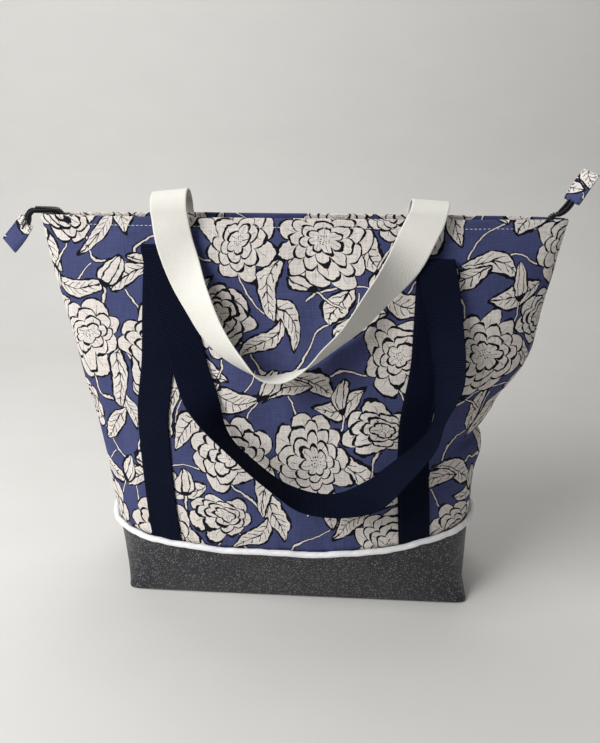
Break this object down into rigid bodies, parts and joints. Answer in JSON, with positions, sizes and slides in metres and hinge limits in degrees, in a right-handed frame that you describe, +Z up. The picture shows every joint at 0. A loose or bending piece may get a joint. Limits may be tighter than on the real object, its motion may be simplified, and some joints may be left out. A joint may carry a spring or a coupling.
{
  "type": "zip-top knitting bag",
  "caption": "Flat-based fabric knitting bag with boxed vinyl bottom, piped seam, two webbing handles folded to the front and a recessed zip with tabbed ends.",
  "frame": {"origin": "middle of the flat base, on the surface it stands on", "axes": "+X to the right along the bag's width, +Y from the front panel to the back panel, +Z up"},
  "size_m": [0.4992, 0.1999, 0.3946],
  "materials": {
    "printed_cotton": "woven cotton, blue with a cream floral print",
    "navy_webbing": "woven webbing",
    "white_webbing": "woven webbing",
    "glitter_vinyl": "fine glitter vinyl on a cloth backing",
    "piping_cotton": "plain woven cotton",
    "lining_cotton": "plain woven cotton",
    "fleece": "fusible fleece",
    "board": "pressed board",
    "zip_tape": "woven polyester tape",
    "zip_coil": "nylon coil",
    "zip_metal": "gunmetal",
    "white_thread": "dense stitching"
  },
  "bodies": {
    "bag": {"vinyl_base": "glitter_vinyl", "base_board": "board", "base_lining": "lining_cotton", "front_piping": "piping_cotton", "back_piping": "piping_cotton", "front_panel": "printed_cotton", "back_panel": "printed_cotton", "front_interlining": "fleece", "back_interlining": "fleece", "front_lining": "lining_cotton", "back_lining": "lining_cotton", "front_left_leg": "navy_webbing", "front_right_leg": "navy_webbing", "back_left_leg": "white_webbing", "back_right_leg": "white_webbing", "handle_bartacks": "white_thread", "front_left_fold": "navy_webbing", "front_right_fold": "navy_webbing", "back_left_arch": "white_webbing", "back_right_arch": "white_webbing", "front_zip_facing": "printed_cotton", "back_zip_facing": "printed_cotton", "front_zip_tape": "zip_tape", "back_zip_tape": "zip_tape", "front_zip_coil": "zip_coil", "back_zip_coil": "zip_coil"},
    "front_handle": {"front_handle_loop": "navy_webbing"},
    "back_handle": {"back_handle_loop": "white_webbing"},
    "zip_slider": {"zip_slider": "zip_metal"},
    "zip_pull": {"zip_pull": "zip_metal"},
    "left_zip_tail": {"left_tail_tape": "zip_tape", "left_tail_tab": "printed_cotton"},
    "right_zip_tail": {"right_tail_tape": "zip_tape", "right_tail_tab": "printed_cotton"}
  },
  "joints": [
    {"name": "back_handle_lift", "type": "hinge", "parent": "bag", "child": "back_handle", "pos_m": [0, -0.00489, 0.358], "axis": [-1, 0, 0], "range_deg": [0, 165], "deforming": ["back_left_arch", "back_right_arch"]},
    {"name": "front_handle_lift", "type": "hinge", "parent": "bag", "child": "front_handle", "pos_m": [0, -0.0242, 0.331], "axis": [-1, 0, 0], "range_deg": [0, 165], "deforming": ["front_left_fold", "front_right_fold"]},
    {"name": "zip_slide", "type": "slide", "parent": "bag", "child": "zip_slider", "axis": [1, 0, 0], "range_m": [0, 0.33]},
    {"name": "pull_flip", "type": "hinge", "parent": "zip_slider", "child": "zip_pull", "pos_m": [-0.176, 0, 0.3474], "axis": [0, -1, 0], "range_deg": [0, 150]},
    {"name": "left_tail_flex", "type": "hinge", "parent": "bag", "child": "left_zip_tail", "pos_m": [-0.226, 0, 0.3572], "axis": [0, 1, 0], "range_deg": [-20, 35], "stiffness_Nm_per_rad": 0.01},
    {"name": "right_tail_flex", "type": "hinge", "parent": "bag", "child": "right_zip_tail", "pos_m": [0.212, 0, 0.3572], "axis": [0, 1, 0], "range_deg": [-30, 40], "stiffness_Nm_per_rad": 0.01}
  ],
  "couplings": [
    {"joint": "front_handle_lift", "follows": "back_handle_lift", "ratio": 1}
  ]
}
